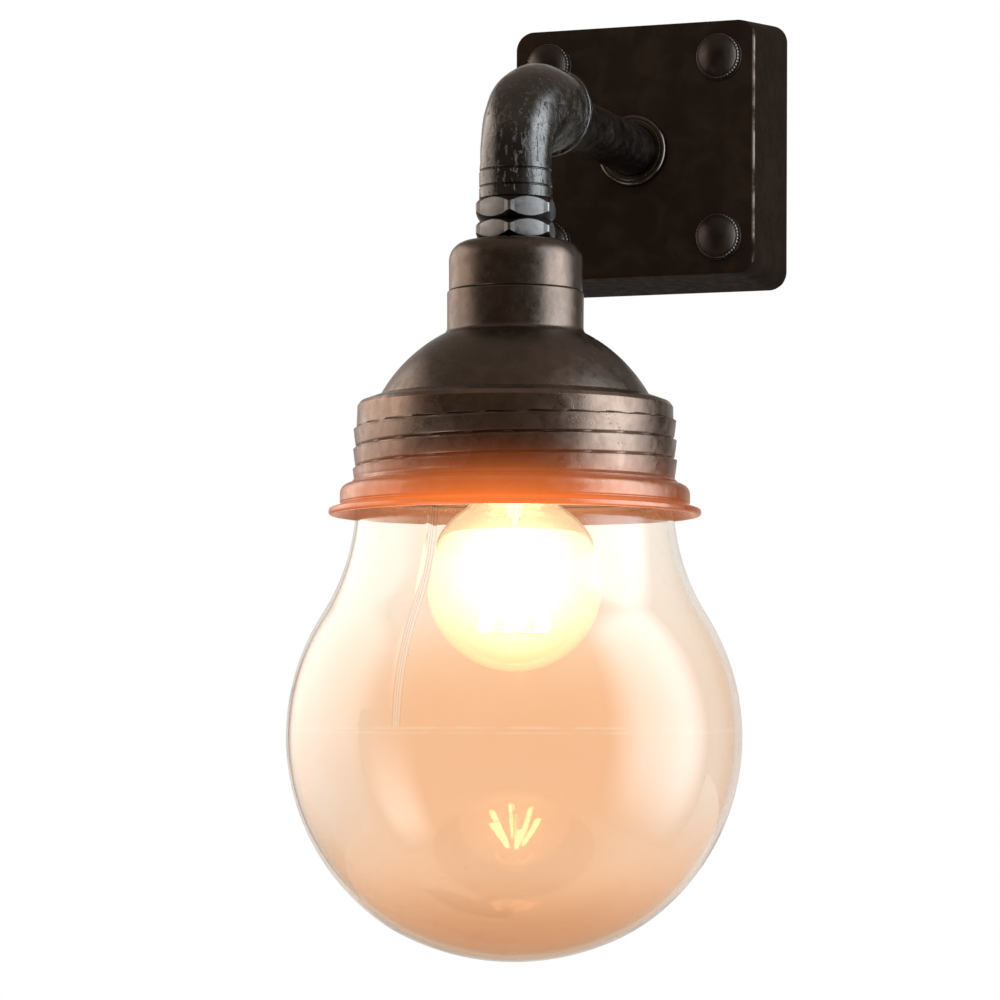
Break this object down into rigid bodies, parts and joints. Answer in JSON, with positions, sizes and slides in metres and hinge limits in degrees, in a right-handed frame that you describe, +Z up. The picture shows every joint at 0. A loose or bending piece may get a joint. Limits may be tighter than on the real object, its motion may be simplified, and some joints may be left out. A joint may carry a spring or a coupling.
{
  "type": "wall light",
  "caption": "Industrial wall light: a square cast box carries a pipe and elbow, from which a domed cap and screw collar hold a clear glass globe over a globe-shaped filament lamp.",
  "frame": {"origin": "centre of the wall bracket's rear face, on the wall, level with the wall pipe's axis", "axes": "+Y into the wall, +Z up, +X to the right for someone facing the wall; the lamp hangs at -Y"},
  "size_m": [0.196, 0.302, 0.4345],
  "materials": {
    "dark_cast_metal": "satin, pitted, blackened bronze",
    "dark_turned_metal": "satin, blackened",
    "worn_steel": "worn satin",
    "zinc_steel": "zinc plated",
    "holder_metal": "blackened",
    "brass": "bright",
    "ceramic": "white, matt",
    "clear_glass": "clear, smooth",
    "bulb_glass": "clear, lit from inside",
    "nickel_cap": "nickel plated",
    "solder": "dull",
    "black_glass": "opaque black",
    "glowing_filament": "glowing, coated strip",
    "support_wire": "drawn",
    "rubber": "matt",
    "block_plastic": "matt, cream",
    "brown_lead": "satin insulation",
    "blue_lead": "satin insulation",
    "green_lead": "satin insulation"
  },
  "bodies": {
    "fixture": {"back_box": "dark_cast_metal", "canopy": "dark_cast_metal", "neck_cap": "dark_cast_metal", "screw_collar": "dark_cast_metal", "elbow": "dark_cast_metal", "pipe_collar": "dark_turned_metal", "wall_pipe": "dark_turned_metal", "dome_nuts": "dark_turned_metal", "upper_lock_nut": "worn_steel", "lower_lock_nut": "worn_steel", "wall_bracket": "zinc_steel", "bracket_studs": "zinc_steel", "pipe_back_nut": "zinc_steel", "nipple": "zinc_steel", "nipple_washer": "zinc_steel", "nipple_nut": "zinc_steel", "collar_screws": "zinc_steel", "earth_screw": "zinc_steel", "holder_cap": "holder_metal", "holder_shell": "brass", "centre_contact": "brass", "terminal_screws": "brass", "holder_body": "ceramic", "wall_gasket": "rubber", "cable_grommet": "rubber", "terminal_block": "block_plastic", "live_lead": "brown_lead", "neutral_lead": "blue_lead", "earth_lead": "green_lead"},
    "seal": {"globe_seal": "rubber"},
    "globe": {"globe": "clear_glass"},
    "lamp_tip": {"bulb_tip": "solder"},
    "lamp": {"bulb_glass": "bulb_glass", "bulb_cap": "nickel_cap", "bulb_insulator": "black_glass", "bulb_stem": "bulb_glass", "bulb_filaments": "glowing_filament", "filament_supports": "support_wire"}
  },
  "joints": [
    {"name": "globe_feed", "type": "slide", "parent": "fixture", "child": "seal", "axis": [0, 0, -1], "range_m": [0, 0.0277]},
    {"name": "globe_turn", "type": "hinge", "parent": "seal", "child": "globe", "pos_m": [0, -0.204, -0.16], "axis": [0, 0, -1], "range_deg": [0, 1170]},
    {"name": "lamp_feed", "type": "slide", "parent": "fixture", "child": "lamp_tip", "axis": [0, 0, -1], "range_m": [0, 0.0101]},
    {"name": "lamp_turn", "type": "hinge", "parent": "lamp_tip", "child": "lamp", "pos_m": [0, -0.204, -0.145], "axis": [0, 0, -1], "range_deg": [0, 990]}
  ],
  "couplings": [
    {"joint": "globe_feed", "follows": "globe_turn", "m_per_rad": 0.0013528},
    {"joint": "lamp_feed", "follows": "lamp_turn", "m_per_rad": 0.00057614}
  ]
}
